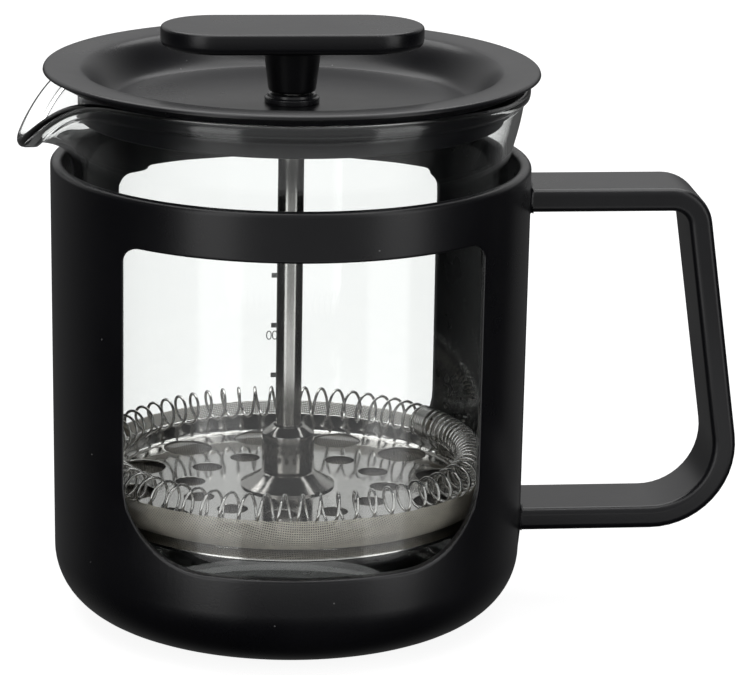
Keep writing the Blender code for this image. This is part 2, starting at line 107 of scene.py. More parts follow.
def place(tree, scale=(1.0, 1.0, 1.0)):
    """Object coordinates in metres, stretched by scale."""
    coordinates = node(tree, "ShaderNodeTexCoord")
    mapping = node(tree, "ShaderNodeMapping", {"Vector": coordinates.outputs["Object"], "Scale": scale})
    return mapping.outputs["Vector"]


def noise(tree, vector, scale, detail=3.0, roughness=0.5):
    made = node(tree, "ShaderNodeTexNoise",
                {"Vector": vector, "Scale": scale, "Detail": detail, "Roughness": roughness})
    return made.outputs["Fac"]


def bump(tree, height, strength, distance):
    made = node(tree, "ShaderNodeBump", {"Height": height, "Strength": strength, "Distance": distance})
    return made.outputs["Normal"]


def fade(tree, value, low, high, start=0.0, end=1.0):
    """A smooth step from start to end while value goes from low to high."""
    made = node(tree, "ShaderNodeMapRange", {"Value": value, "From Min": low, "From Max": high,
                                             "To Min": start, "To Max": end}, interpolation_type="SMOOTHSTEP")
    return made.outputs["Result"]


def connect(tree, value, shader, name):
    tree.links.new(value, shader.inputs[name])


# ---------------------------------------------------------------------------------------------
# Materials


def plastic_material(name, dark, light, rough_low, rough_high, dust):
    """Moulded black polypropylene: fine satin grain, faint flow clouds, sparse dust specks."""
    made, tree, shader = new_material(name)
    where = place(tree)
    cloud = noise(tree, where, 38.0, 4.0, 0.6)
    grain = noise(tree, where, 2600.0, 2.0, 0.5)
    specks = node(tree, "ShaderNodeTexVoronoi", {"Vector": where, "Scale": 330.0, "Randomness": 1.0})
    size = node(tree, "ShaderNodeTexNoise", {"Vector": where, "Scale": 240.0, "Detail": 0.0})
    near = maths(tree, "LESS_THAN", specks.outputs["Distance"], dust)
    chosen = maths(tree, "GREATER_THAN", size.outputs["Fac"], 0.63)
    speck = maths(tree, "MULTIPLY", near, chosen)
    base = ramp(tree, cloud, [(0.3, dark), (0.75, light)])
    dust_grey = (0.16, 0.16, 0.16, 1.0)
    dusted = node(tree, "ShaderNodeMixRGB", {"Fac": speck, "Color1": base, "Color2": dust_grey})
    connect(tree, dusted.outputs["Color"], shader, "Base Color")
    rough = node(tree, "ShaderNodeMapRange", {"Value": cloud, "From Min": 0.3, "From Max": 0.7,
                                              "To Min": rough_low, "To Max": rough_high})
    rougher = maths(tree, "ADD", rough.outputs["Result"], maths(tree, "MULTIPLY", speck, 0.3), clamp=True)
    connect(tree, rougher, shader, "Roughness")
    connect(tree, bump(tree, grain, 0.22, 0.00006), shader, "Normal")
    return made


def glass_material():
    """Borosilicate glass: slightly uneven surface, and lamps reach what is inside it."""
    made, tree, shader = new_material("clear_glass")
    shader.inputs["Base Color"].default_value = (0.93, 0.942, 0.935, 1.0)
    shader.inputs["Roughness"].default_value = 0.0
    shader.inputs["IOR"].default_value = 1.47
    shader.inputs["Transmission Weight"].default_value = 1.0
    waves = noise(tree, place(tree, (1.0, 1.0, 0.5)), 34.0, 1.0, 0.4)
    connect(tree, bump(tree, waves, 0.12, 0.0006), shader, "Normal")
    clear = node(tree, "ShaderNodeBsdfTransparent", {"Color": (0.96, 0.975, 0.97, 1.0)})
    rays = node(tree, "ShaderNodeLightPath")
    mix = node(tree, "ShaderNodeMixShader", {0: rays.outputs["Is Shadow Ray"], 1: shader.outputs[0],
                                             2: clear.outputs[0]})
    output = tree.nodes["Material Output"]
    tree.links.new(mix.outputs[0], output.inputs["Surface"])
    return made


def steel_material(name, colour, rough_low, rough_high, grain_scale, grain_strength, stretch):
    """Stainless steel; stretch squeezes the grain into brush lines along one direction."""
    made, tree, shader = new_material(name)
    shader.inputs["Metallic"].default_value = 1.0
    lines = noise(tree, place(tree, stretch), grain_scale, 3.0, 0.65)
    cloud = noise(tree, place(tree), 120.0, 3.0, 0.6)
    darker = tuple(channel * 0.86 for channel in colour)
    tint = ramp(tree, lines, [(0.32, darker), (0.68, colour)])
    connect(tree, tint, shader, "Base Color")
    rough = node(tree, "ShaderNodeMapRange", {"Value": cloud, "From Min": 0.3, "From Max": 0.7,
                                              "To Min": rough_low, "To Max": rough_high})
    connect(tree, rough.outputs["Result"], shader, "Roughness")
    connect(tree, bump(tree, lines, grain_strength, 0.00004), shader, "Normal")
    return made


def woven_material():
    """Fine plain-woven wire cloth, with painted shade inside its rim, where the spiral plate covers it.

    Its UV map holds the flat cloth's own plane, in millimetres.
    """
    made, tree, shader = new_material("woven_steel")
    pitch = 0.46
    coordinates = node(tree, "ShaderNodeTexCoord")
    split = node(tree, "ShaderNodeSeparateXYZ", {"Vector": coordinates.outputs["UV"]})
    across = maths(tree, "MULTIPLY", split.outputs["X"], TURN / pitch)
    along = maths(tree, "MULTIPLY", split.outputs["Y"], TURN / pitch)
    warp = maths(tree, "COSINE", across)
    weft = maths(tree, "COSINE", along)
    wire = maths(tree, "MAXIMUM", warp, weft)
    crossing = maths(tree, "MULTIPLY", maths(tree, "SINE", maths(tree, "MULTIPLY", across, 0.5)),
                     maths(tree, "SINE", maths(tree, "MULTIPLY", along, 0.5)))
    height = maths(tree, "ADD", wire, maths(tree, "MULTIPLY", crossing, 0.7))
    solid = maths(tree, "GREATER_THAN", wire, 0.12)
    stain = noise(tree, place(tree), 160.0, 4.0, 0.65)
    tint = ramp(tree, stain, [(0.3, (0.64, 0.59, 0.51)), (0.7, (0.88, 0.82, 0.72))])
    spread = node(tree, "ShaderNodeVectorMath", {0: coordinates.outputs["UV"]}, operation="LENGTH")
    # Painted shade: the cloth is darkened towards the middle, under the spiral plate.
    out_from_under_plate = fade(tree, spread.outputs["Value"], 33.0, 37.0, 0.2, 1.0)
    under_plate_shade = (0.05, 0.045, 0.04, 1.0)
    plate_shaded_cloth = node(tree, "ShaderNodeMixRGB", {"Fac": out_from_under_plate, "Color1": under_plate_shade, "Color2": tint})
    connect(tree, plate_shaded_cloth.outputs["Color"], shader, "Base Color")
    shader.inputs["Metallic"].default_value = 0.8
    shader.inputs["Roughness"].default_value = 0.48
    connect(tree, bump(tree, height, 1.0, 0.0001), shader, "Normal")
    hole = node(tree, "ShaderNodeBsdfTransparent")
    mix = node(tree, "ShaderNodeMixShader", {0: solid, 1: hole.outputs[0], 2: shader.outputs[0]})
    output = tree.nodes["Material Output"]
    tree.links.new(mix.outputs[0], output.inputs["Surface"])
    return made


def print_material():
    """Grey ceramic ink of the measuring marks."""
    made, tree, shader = new_material("mark_ink")
    speckle = noise(tree, place(tree), 5200.0, 2.0, 0.6)
    connect(tree, ramp(tree, speckle, [(0.3, 0.30), (0.7, 0.42)]), shader, "Base Color")
    shader.inputs["Roughness"].default_value = 0.55
    return made


def seen_directly(tree):
    """1 for a view that met nothing but glass on its way, 0 for reflections and bounces."""
    rays = node(tree, "ShaderNodeLightPath")
    bounces = maths(tree, "SUBTRACT", rays.outputs["Ray Depth"], rays.outputs["Transmission Depth"])
    return maths(tree, "LESS_THAN", bounces, 0.5)


def side_shade(tree, vector, low, high):
    """0 towards the front or back, 1 towards the left or right."""
    split = node(tree, "ShaderNodeSeparateXYZ", {"Vector": vector})
    side = maths(tree, "ABSOLUTE", split.outputs["X"])
    depth = maths(tree, "ABSOLUTE", split.outputs["Y"])
    ratio = maths(tree, "DIVIDE", side, maths(tree, "ADD", maths(tree, "ADD", side, depth), 0.0001))
    return fade(tree, ratio, low, high)


def through_glass(tree, vector):
    """How bright the surroundings look: dark flags stand left and right, seen only through glass."""
    rays = node(tree, "ShaderNodeLightPath")
    flags = maths(tree, "MULTIPLY", side_shade(tree, vector, 0.42, 0.72), rays.outputs["Is Transmission Ray"])
    return maths(tree, "SUBTRACT", 1.0, maths(tree, "MULTIPLY", flags, 0.4))


def near_front(tree, vector):
    """1 on the lit patch of table just in front of the object, 0 away from it."""
    split = node(tree, "ShaderNodeSeparateXYZ", {"Vector": vector})
    reach = node(tree, "ShaderNodeVectorMath", {0: vector}, operation="LENGTH").outputs["Value"]
    ahead = maths(tree, "DIVIDE", maths(tree, "MULTIPLY", split.outputs["Y"], -1.0), reach)
    ring = maths(tree, "MULTIPLY", fade(tree, reach, 0.085, 0.12), fade(tree, reach, 0.17, 0.28, 1.0, 0.0))
    return maths(tree, "MULTIPLY", ring, fade(tree, ahead, 0.3, 0.8))


def floor_material():
    """Pale matt paper sweep with a barely visible fibre; reflections look past it into the studio."""
    made, tree, shader = new_material("paper")
    fibre = noise(tree, place(tree), 900.0, 5.0, 0.7)
    connect(tree, ramp(tree, fibre, [(0.2, 0.80), (0.8, 0.84)]), shader, "Base Color")
    shader.inputs["Roughness"].default_value = 0.9
    shader.inputs["Specular IOR Level"].default_value = 0.1
    connect(tree, bump(tree, fibre, 0.1, 0.0001), shader, "Normal")
    coordinates = node(tree, "ShaderNodeTexCoord")
    bright = through_glass(tree, coordinates.outputs["Object"])
    glow = node(tree, "ShaderNodeEmission", {"Color": (1.0, 1.0, 1.0, 1.0),
                                             "Strength": maths(tree, "MULTIPLY", bright, 1.3)})
    lit = node(tree, "ShaderNodeMixShader", {0: 0.7, 1: shader.outputs[0], 2: glow.outputs[0]})
    past = node(tree, "ShaderNodeBsdfTransparent")
    patch = node(tree, "ShaderNodeEmission", {"Color": (0.62, 0.62, 0.62, 1.0),
                                              "Strength": near_front(tree, coordinates.outputs["Object"])})
    below = node(tree, "ShaderNodeAddShader", {0: past.outputs[0], 1: patch.outputs[0]})
    mix = node(tree, "ShaderNodeMixShader", {0: seen_directly(tree), 1: below.outputs[0], 2: lit.outputs[0]})
    output = tree.nodes["Material Output"]
    tree.links.new(mix.outputs[0], output.inputs["Surface"])
    return made


BLACK = plastic_material("black_plastic", (0.0045, 0.0045, 0.0058), (0.0075, 0.0075, 0.0092),
                         0.26, 0.33, 0.055)
BUSH_BLACK = plastic_material("bush_plastic", (0.012, 0.012, 0.014), (0.02, 0.02, 0.023), 0.16, 0.26, 0.03)
GLASS = glass_material()
POLISHED = steel_material("polished_steel", (0.74, 0.73, 0.71), 0.06, 0.13, 900.0, 0.05, (1.0, 1.0, 0.05))
WIRE = steel_material("spring_wire", (0.88, 0.87, 0.85), 0.08, 0.14, 3000.0, 0.05, (1.0, 1.0, 1.0))
BRUSHED = steel_material("brushed_steel", (0.56, 0.54, 0.52), 0.24, 0.36, 1500.0, 0.3, (1.0, 1.0, 0.12))
DRAWN = steel_material("drawn_steel", (0.68, 0.67, 0.65), 0.15, 0.21, 1500.0, 0.08, (1.0, 1.0, 0.05))
SATIN = steel_material("satin_steel", (0.44, 0.425, 0.41), 0.12, 0.17, 1500.0, 0.1, (1.0, 1.0, 0.12))
BRASS = steel_material("machined_brass", (0.78, 0.60, 0.30), 0.25, 0.4, 1500.0, 0.2, (0.1, 0.1, 1.0))
WOVEN = woven_material()
INK = print_material()

# ---------------------------------------------------------------------------------------------
# Mesh helpers


def link_object(name, data):
    obj = bpy.data.objects.new(name, data)
    bpy.context.scene.collection.objects.link(obj)
    return obj


def add_mesh(name, verts, faces, paint=None):
    mesh = bpy.data.meshes.new(name)
    mesh.from_pydata([tuple(v) for v in verts], [], faces)
    mesh.validate()
    if paint:
        mesh.materials.append(paint)
    return link_object(name, mesh)


def band_faces(rows, columns):
    """Quads between rows of points, where each row closes on itself."""
    faces = []
    for row in range(rows - 1):
        low = row * columns
        high = low + columns
        for column in range(columns):
            beside = (column + 1) % columns
            faces.append([low + column, low + beside, high + beside, high + column])
    return faces


def face_outwards(obj):
    build = bmesh.new()
    build.from_mesh(obj.data)
    bmesh.ops.recalc_face_normals(build, faces=list(build.faces))
    build.to_mesh(obj.data)
    build.free()
    return obj


def mesh_from_curve(name, curve):
    """The evaluated mesh of a curve or text, without the curve object."""
    obj = link_object(name, curve)
    mesh = bpy.data.meshes.new_from_object(obj.evaluated_get(bpy.context.evaluated_depsgraph_get()))
    bpy.data.objects.remove(obj, do_unlink=True)
    return mesh


def arc(centre_x, centre_z, radius, start, end, steps):
    """Points of an arc in the (r, z) plane; angles in degrees from +r towards +z."""
    angles = np.radians(np.linspace(start, end, steps + 1))
    return [(centre_x + radius * math.cos(a), centre_z + radius * math.sin(a)) for a in angles]


def rounded(points, radii, steps=5, closed=True):
    """Round the corners of an (r, z) outline; a radius of 0 keeps the corner."""
    made = []
    count = len(points)
    for index, radius in enumerate(radii):
        here = Vector(points[index])
        if radius == 0.0 or (not closed and index in (0, count - 1)):
            made.append(tuple(here))
            continue
        before = Vector(points[index - 1]) - here
        after = Vector(points[(index + 1) % count]) - here
        between = before.angle(after)
        reach = min(radius / math.tan(between / 2), before.length * 0.49, after.length * 0.49)
        radius = reach * math.tan(between / 2)
        before.normalize()
        after.normalize()
        centre = here + (before + after).normalized() * radius / math.sin(between / 2)
        first = here + before * reach - centre
        last = here + after * reach - centre
        start = math.atan2(first.y, first.x)
        turn = (math.atan2(last.y, last.x) - start + math.pi) % TURN - math.pi
        for step in range(steps + 1):
            angle = start + turn * step / steps
            made.append((centre.x + radius * math.cos(angle), centre.y + radius * math.sin(angle)))
    return made


def lathe(name, profile, steps, paint=None, closed=True):
    """Turn an (r, z) profile round Z.

    A closed profile runs anticlockwise, seen with r to the right and z up.
    """
    rings = []
    verts = []
    for radius, height in profile:
        if radius < 1e-9:
            rings.append([len(verts)] * steps)
            verts.append((0.0, 0.0, height))
            continue
        rings.append(list(range(len(verts), len(verts) + steps)))
        for step in range(steps):
            angle = TURN * step / steps
            verts.append((radius * math.cos(angle), radius * math.sin(angle), height))
    faces = []
    count = len(profile)
    for index in range(count if closed else count - 1):
        low = rings[index]
        high = rings[(index + 1) % count]
        for step in range(steps):
            beside = (step + 1) % steps
            corners = [low[step], low[beside], high[beside], high[step]]
            face = list(dict.fromkeys(corners))
            if len(face) > 2:
                faces.append(face)
    return add_mesh(name, verts, faces, paint)


def smooth(obj, degrees=32):
    obj.data.shade_smooth()
    obj.data.set_sharp_from_angle(angle=math.radians(degrees))
    return obj


def bake(obj):
    """Apply an object's modifiers to its mesh."""
    bpy.context.view_layer.update()
    evaluated = obj.evaluated_get(bpy.context.evaluated_depsgraph_get())
    mesh = bpy.data.meshes.new_from_object(evaluated)
    obj.modifiers.clear()
    obj.data = mesh
    return obj


def boolean(obj, other, operation="DIFFERENCE"):
    """Cut obj with other, or join them, and drop the other object."""
    modifier = obj.modifiers.new("boolean", "BOOLEAN")
    modifier.operation = operation
    modifier.object = other
    modifier.solver = "EXACT"
    bake(obj)
    bpy.data.objects.remove(other, do_unlink=True)
    return obj


def soften(obj, width, segments=3, degrees=40, weld=0.00008):
    """Round every sharp edge of an object by the same width."""
    if weld:
        merge = obj.modifiers.new("weld", "WELD")
        merge.merge_threshold = weld
    edge = obj.modifiers.new("edge", "BEVEL")
    edge.width = width
    edge.segments = segments
    edge.limit_method = "ANGLE"
    edge.angle_limit = math.radians(degrees)
    edge.use_clamp_overlap = False
    edge.miter_outer = "MITER_ARC"
    return bake(obj)


def extruded(name, outline, depth, paint=None):
    """Extrude an outline drawn in the XZ plane, centred on y = 0."""
    count = len(outline)
    verts = [(x, -depth / 2, z) for x, z in outline] + [(x, depth / 2, z) for x, z in outline]
    faces = [list(range(count)), list(range(2 * count - 1, count - 1, -1))]
    for index in range(count):
        beside = (index + 1) % count
        faces.append([beside, index, count + index, count + beside])
    return face_outwards(add_mesh(name, verts, faces, paint))


def finished(obj, body, slot, *nodes):
    """Say what body a piece rides on and hide the CAD nodes it stands for; slot, the finish, is not used."""
    if nodes:
        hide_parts(*nodes)
    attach(obj, body)
    return obj


# ---------------------------------------------------------------------------------------------
# Holder


def holder_section():
    """Jacket section: up the outside from the middle of the base, over the lip, down the inside."""
    top = HOLDER_HIGH.z
    radius = HOLDER_HIGH.y
    base_radius = radius - 0.5 * MM
    wall = 2.4 * MM
    floor = 2.6 * MM
    outer_round = 12.25 * MM
    lip = 1.1 * MM
    points = [(0.0, 0.0)]
    points += arc(base_radius - outer_round, outer_round, outer_round, -90, 0, 16)
    points += arc(radius - lip, top - lip, lip, 0, 90, 6)
    points += arc(radius - wall + lip, top - lip, lip, 90, 180, 6)
    points += arc(base_radius - outer_round, floor + outer_round - wall, outer_round - wall, 0, -90, 12)
    points.append((0.0, floor))
    return points


def window_outline():
    side = 33.3 * MM
    low = 19.2 * MM
    high = 79.5 * MM
    low_round = 14.5 * MM
    high_round = 2.8 * MM
    corners = [(-side, low), (side, low), (side, high), (-side, high)]
    return rounded(corners, [low_round, low_round, high_round, high_round], steps=14)


def handle_outline():
    """Side view of the strap handle: outer path out and down, then the inner path back up."""
    start = HOLDER_HIGH.y - 1.7 * MM
    top = 84.2 * MM
    low = 15.6 * MM
    thick = 4.6 * MM
    outer_top = 80.0 * MM
    outer_low = 90.1 * MM
    lean = (outer_low - outer_top) / (top - low)
    across = thick * math.hypot(1.0, lean)
    inner_top = outer_top + lean * thick - across
    inner_low = outer_low - lean * thick - across
    points = [
        (start, top), (outer_top, top), (outer_low, low), (start, low),
        (start, low + thick), (inner_low, low + thick), (inner_top, top - thick), (start, top - thick),
    ]
    radii = [0.0, 8.0 * MM, 16.5 * MM, 0.0, 0.0, 11.9 * MM, 3.4 * MM, 0.0]
    return rounded(points, radii, steps=14)


def make_holder():
    jacket = lathe("holder_shell", holder_section(), 180, BLACK, closed=False)
    window = extruded("window", window_outline(), 4 * HOLDER_HIGH.y)
    boolean(jacket, window)
    handle = extruded("strap", handle_outline(), 16.5 * MM, BLACK)
    soften(handle, 1.4 * MM, segments=5, degrees=60, weld=0.0)
    boolean(jacket, handle, "UNION")
    soften(jacket, 0.7 * MM, segments=3, degrees=38)
    smooth(jacket, 40)
    flat = jacket.modifiers.new("normals", "WEIGHTED_NORMAL")
    flat.keep_sharp = True
    flat.weight = 60
    finished(jacket, "holder", "black_plastic", "holder")


# ---------------------------------------------------------------------------------------------
# Glass beaker

GLASS_R = 41.5 * MM
GLASS_WALL = 1.5 * MM
FLARE_Z = 84.0 * MM
RIM_Z = 103.3 * MM
BEAD_Z = 101.4 * MM
FLARE_HEIGHTS = (84.0, 87.0, 91.0, 94.0, 97.0, 101.3, 103.3)
FLARE_RADII = (41.5, 41.5, 41.9, 42.8, 43.6, 44.3, 44.6)
LIP_TIP_R = 51.0 * MM
LIP_TIP_Z = 92.6 * MM
LIP_HALF_ANGLE = math.radians(42.75)
LIP_OUT_POWER = 2.7
LIP_DOWN_POWER = 4.2
LIP_SQUARENESS = 3.5
MARK_ANGLE = math.radians(89.2)


def flare_radius(height):
    """Radius of the flared mouth: its drawn points, smoothed over 6 mm."""
    nearby = [height / MM + step * 0.5 for step in range(-6, 7)]
    return float(np.mean(np.interp(nearby, FLARE_HEIGHTS, FLARE_RADII))) * MM


def lip_shape(rise):
    angle = math.pi / 2 * min(1.0, rise)
    out = 1.0 - max(0.0, math.cos(angle)) ** (2 / LIP_SQUARENESS)
    up = math.sin(angle) ** (2 / LIP_SQUARENESS)
    return GLASS_R + (LIP_TIP_R - GLASS_R) * out, FLARE_Z + (LIP_TIP_Z - FLARE_Z) * up


def glass_outer():
    """Outer side of the beaker, without its lip, from the middle of the base up to the rim."""
    low = GLASS_LOW.z
    base_round = 9.0 * MM
    punt_depth = 1.3 * MM
    punt_radius = GLASS_R - base_round - 2.0 * MM
    points = []
    for step in range(10):
        share = step / 10
        points.append((punt_radius * share, low + punt_depth * (1 - share ** 3)))
    points += arc(GLASS_R - base_round, low + base_round, base_round, -90, 0, 16)
    for step in range(1, 9):
        points.append((GLASS_R, low + base_round + (FLARE_Z - low - base_round) * step / 8))
    for step in range(1, 41):
        height = FLARE_Z + (RIM_Z - FLARE_Z) * step / 40
        points.append((flare_radius(height), height))
    return points


def glass_thickness(height):
    thicker_base = 1.0 * MM
    base = max(0.0, 1.0 - (height - GLASS_LOW.z) / (8 * MM))
    return GLASS_WALL + thicker_base * base


def bead_bulge(height):
    """How far the fire-polished rim stands out from the wall."""
    share = min(1.0, max(0.0, (height - BEAD_Z) / (1.1 * MM)))
    return 1.0 * MM * share * share * (3 - 2 * share)


def glass_grid(outer, steps):
    """The outer side all round, with the pouring lip pulled out of it: [column, row, xyz]."""
    grid = np.zeros((steps, len(outer), 3))
    for column in range(steps):
        angle = TURN * column / steps
        turn = abs(angle - math.pi)
        share = math.cos(math.pi / 2 * turn / LIP_HALF_ANGLE) if turn < LIP_HALF_ANGLE else 0.0
        for row, (radius, height) in enumerate(outer):
            rise = (height - FLARE_Z) / (RIM_Z - FLARE_Z)
            if rise > 0.0 and share > 0.0:
                lip_radius, lip_height = lip_shape(rise)
                radius += (lip_radius - radius) * share ** LIP_OUT_POWER
                height += (lip_height - height) * share ** LIP_DOWN_POWER
            grid[column, row] = (radius * math.cos(angle), radius * math.sin(angle), height)
    return grid


def glass_rings(grid, heights):
    """Rings of points up the outer side, over the round rim and down the inner side."""
    up = np.gradient(grid, axis=1)
    side = np.roll(grid, -1, axis=0) - np.roll(grid, 1, axis=0)
    normal = np.cross(side, up)
    normal[:, 0] = (0.0, 0.0, -1.0)
    normal /= np.linalg.norm(normal, axis=2, keepdims=True)
    wall = np.array([glass_thickness(height) for height in heights])
    bulge = np.array([bead_bulge(height) for height in heights])
    inner = grid - normal * wall[None, :, None]
    outer = grid + normal * bulge[None, :, None]
    middle = (outer[:, -1] + inner[:, -1]) / 2
    half = (outer[:, -1] - inner[:, -1]) / 2
    tangent = up[:, -1] / np.linalg.norm(up[:, -1], axis=1, keepdims=True)
    radius = np.linalg.norm(half, axis=1, keepdims=True)
    count = len(heights)
    cap_steps = 7
    rings = [outer[:, row] for row in range(1, count)]
    for step in range(1, cap_steps):
        angle = math.pi * step / cap_steps
        rings.append(middle + half * math.cos(angle) + tangent * radius * math.sin(angle))
    rings += [inner[:, row] for row in range(count - 1, 0, -1)]
    return rings, outer[0, 0, 2], inner[0, 0, 2]


def make_glass():
    steps = 192
    outer = glass_outer()
    heights = [height for _, height in outer]
    rings, outer_middle, inner_middle = glass_rings(glass_grid(outer, steps), heights)
    verts = list(np.concatenate(rings))
    faces = band_faces(len(rings), steps)
    bottom = len(verts)
    verts.append((0.0, 0.0, outer_middle))
    verts.append((0.0, 0.0, inner_middle))
    last = (len(rings) - 1) * steps
    for column in range(steps):
        beside = (column + 1) % steps
        faces.append([bottom, beside, column])
        faces.append([bottom + 1, last + column, last + beside])
    glass = add_mesh("beaker_glass", verts, faces, GLASS)
    glass.data.shade_smooth()
    finished(glass, "beaker", "glass", "glass_beaker")


def on_glass(angle, height, offset):
    radius = GLASS_R + offset
    return (radius * math.cos(angle), radius * math.sin(angle), height)


def make_bar(name, height):
    """A short measuring bar, bent to the glass."""
    steps = 8
    half_width = 0.8 * MM
    half_height = 0.5 * MM
    verts = []
    for step in range(steps + 1):
        angle = MARK_ANGLE + half_width / GLASS_R * (1 - 2 * step / steps)
        for offset in (0.02 * MM, 0.06 * MM):
            for side in (-1, 1):
                verts.append(on_glass(angle, height + side * half_height, offset))
    faces = [[0, 2, 3, 1]]
    for step in range(steps):
        first = 4 * step
        for a, b in ((0, 1), (1, 3), (3, 2), (2, 0)):
            faces.append([first + a, first + b, first + 4 + b, first + 4 + a])
    end = 4 * steps
    faces.append([end, end + 1, end + 3, end + 2])
    bar = face_outwards(add_mesh(name, verts, faces, INK))
    finished(bar, "beaker", "glass")


def make_number(height):
    """The one number of the scale, bent to the glass and readable from behind."""
    curve = bpy.data.curves.new("mark_number", "FONT")
    curve.body = "200"
    curve.size = 2.9 * MM
    curve.space_character = 0.85
    curve.offset = -0.03 * MM
    curve.align_x = "CENTER"
    curve.extrude = 0.02 * MM
    curve.resolution_u = 3
    mesh = mesh_from_curve("mark_number", curve)
    for vertex in mesh.vertices:
        x, y, z = vertex.co
        vertex.co = on_glass(MARK_ANGLE + x / GLASS_R, height + y, 0.04 * MM + z)
    mesh.materials.append(INK)
    finished(link_object("mark_number", mesh), "beaker", "glass")


def make_marks():
    """Measuring bars and a number on the outside of the glass, at the back."""
    lowest = 34.1 * MM
    spacing = 10.6 * MM
    for index in range(3):
        make_bar("mark_bar_" + str(index + 1), lowest + spacing * index)
    make_number(lowest + spacing - 3.1 * MM)


# ---------------------------------------------------------------------------------------------
# Lid and bush


LID_FLOOR_TOP = 99.9 * MM
LID_FLOOR_LOW = 98.3 * MM
VENT_R = 31.0 * MM


def lid_profile():
    """Lid section: out over the floor, wall and ring, then back under the ring, skirt and floor."""
    top = LID_HIGH.z
    radius = LID_HIGH.x
    ring_low = 105.0 * MM
    ring_inner = 40.4 * MM
    ring_drop = 0.45 * MM
    skirt = 40.7 * MM
    skirt_low = 97.9 * MM
    skirt_wall = 1.4 * MM
    floor_radius = 34.6 * MM
    hole = 4.5 * MM
    band = 2.6 * MM
    edge = 0.75 * MM
    upper = [(hole, LID_FLOOR_TOP), (VENT_R - band, LID_FLOOR_TOP), (VENT_R + band, LID_FLOOR_TOP)]
    for step in range(25):
        share = step / 24
        rise = 0.35 * share + 0.65 * (1 - math.cos(math.pi * share)) / 2
        upper.append((floor_radius + (ring_inner - floor_radius) * share,
                      LID_FLOOR_TOP + (top - ring_drop - LID_FLOOR_TOP) * rise))
    upper += [(ring_inner + 1.2 * MM, top - 0.28 * MM), (ring_inner + 3.2 * MM, top - 0.08 * MM)]
    upper += arc(radius - edge, top - edge, edge, 90, 0, 6)
    lower = rounded([
        (radius, ring_low), (skirt, ring_low), (skirt, skirt_low), (skirt - skirt_wall, skirt_low),
        (skirt - skirt_wall, LID_FLOOR_LOW + 2.4 * MM), (floor_radius + 1.2 * MM, LID_FLOOR_LOW),
        (VENT_R + band, LID_FLOOR_LOW), (VENT_R - band, LID_FLOOR_LOW), (hole, LID_FLOOR_LOW),
    ], [0.4 * MM, 0.5 * MM, 0.4 * MM, 0.4 * MM, 1.0 * MM, 1.5 * MM, 0.0, 0.0, 0.0], steps=4)
    return (upper + lower)[::-1]


def make_lid():
    lid = lathe("lid_cover", lid_profile(), 192, BLACK)
    angle = math.radians(-22)
    vent_radius = 0.8 * MM
    low = LID_FLOOR_LOW - MM
    high = LID_FLOOR_TOP + MM
    vent = lathe("vent", [(0.0, low), (vent_radius, low), (vent_radius, high), (0.0, high)], 24, closed=False)
    vent.location = (VENT_R * math.cos(angle), VENT_R * math.sin(angle), 0.0)
    boolean(lid, vent)
    smooth(lid, 50)
    finished(lid, "lid", "black_plastic", "lid")


def make_bush():
    """The glossier guide ring round the rod, seated on the lid's floor."""
    bore = 2.8 * MM
    neck = 4.2 * MM
    seat = LID_FLOOR_TOP + 0.02 * MM
    profile = rounded([
        (bore, BUSH_LOW.z), (neck, BUSH_LOW.z), (neck, seat), (BUSH_HIGH.x, seat),
        (BUSH_HIGH.x, 101.0 * MM), (4.75 * MM, 101.15 * MM), (4.6 * MM, BUSH_HIGH.z), (bore, BUSH_HIGH.z),
    ], [0.2 * MM, 0.3 * MM, 0.0, 0.1 * MM, 0.3 * MM, 0.1 * MM, 0.2 * MM, 0.2 * MM], steps=3)
    bush = smooth(lathe("bush_ring", profile, 64, BUSH_BLACK), 50)
    finished(bush, "lid", "bush_plastic", "lid_bush")


# ---------------------------------------------------------------------------------------------
# Knob


def stadium_ring(length, width, inset, height, steps):
    """Points round an oval with straight sides, moved inwards by inset."""
    end = width / 2
    half = length / 2 - end
    radius = end - inset
    ring = []
    for centre, start in ((half, -90), (-half, 90)):
        for step in range(steps + 1):
            angle = math.radians(start + 180 * step / steps)
            ring.append((centre + radius * math.cos(angle), radius * math.sin(angle), height))
    return ring


def press_plate(low, high):
    """The oval plate, with a large round below and a small one above."""
    length = KNOB_HIGH.x - KNOB_LOW.x
    width = KNOB_HIGH.y - KNOB_LOW.y
    low_round = 1.5 * MM
    high_round = 0.75 * MM
    edges = []
    for angle in np.linspace(0, math.pi / 2, 9):
        edges.append((low_round * (1 - math.sin(angle)), low + low_round * (1 - math.cos(angle))))
    for angle in np.linspace(0, math.pi / 2, 7):
        edges.append((high_round * (1 - math.cos(angle)), high - high_round * (1 - math.sin(angle))))
    edges += [(high_round + 0.35 * MM, high), (high_round + 2.0 * MM, high)]
    rings = [stadium_ring(length, width, inset, height, 28) for inset, height in edges]
    count = len(rings[0])
    verts = [v for ring in rings for v in ring]
    faces = band_faces(len(rings), count)
    faces.append(list(range(count - 1, -1, -1)))
    last = (len(rings) - 1) * count
    faces.append([last + column for column in range(count)])
    return add_mesh("press_knob", verts, faces, BLACK)


def make_knob():
    low = 110.7 * MM
    stem_low = KNOB_LOW.z
    bore_radius = 3.2 * MM
    bore_top = 110.6 * MM
    knob = press_plate(low, KNOB_HIGH.z)
    stem = lathe("stem", rounded([
        (0.0, low + MM), (0.0, stem_low), (4.5 * MM, stem_low), (5.45 * MM, low - 1.0 * MM),
        (6.1 * MM, low), (6.1 * MM, low + MM),
    ], [0.0, 0.0, 0.8 * MM, 0.8 * MM, 0.0, 0.0], steps=5, closed=False), 72, BLACK, closed=False)
    boolean(knob, stem, "UNION")
    bore = lathe("bore", [(0.0, stem_low - MM), (bore_radius, stem_low - MM), (bore_radius, bore_top),
                          (0.0, bore_top)], 40, closed=False)
    boolean(knob, bore)
    smooth(knob, 40)
    finished(knob, "knob", "black_plastic", "knob")
    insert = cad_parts["knob_insert"]
    insert.data.materials.clear()
    insert.data.materials.append(BRASS)


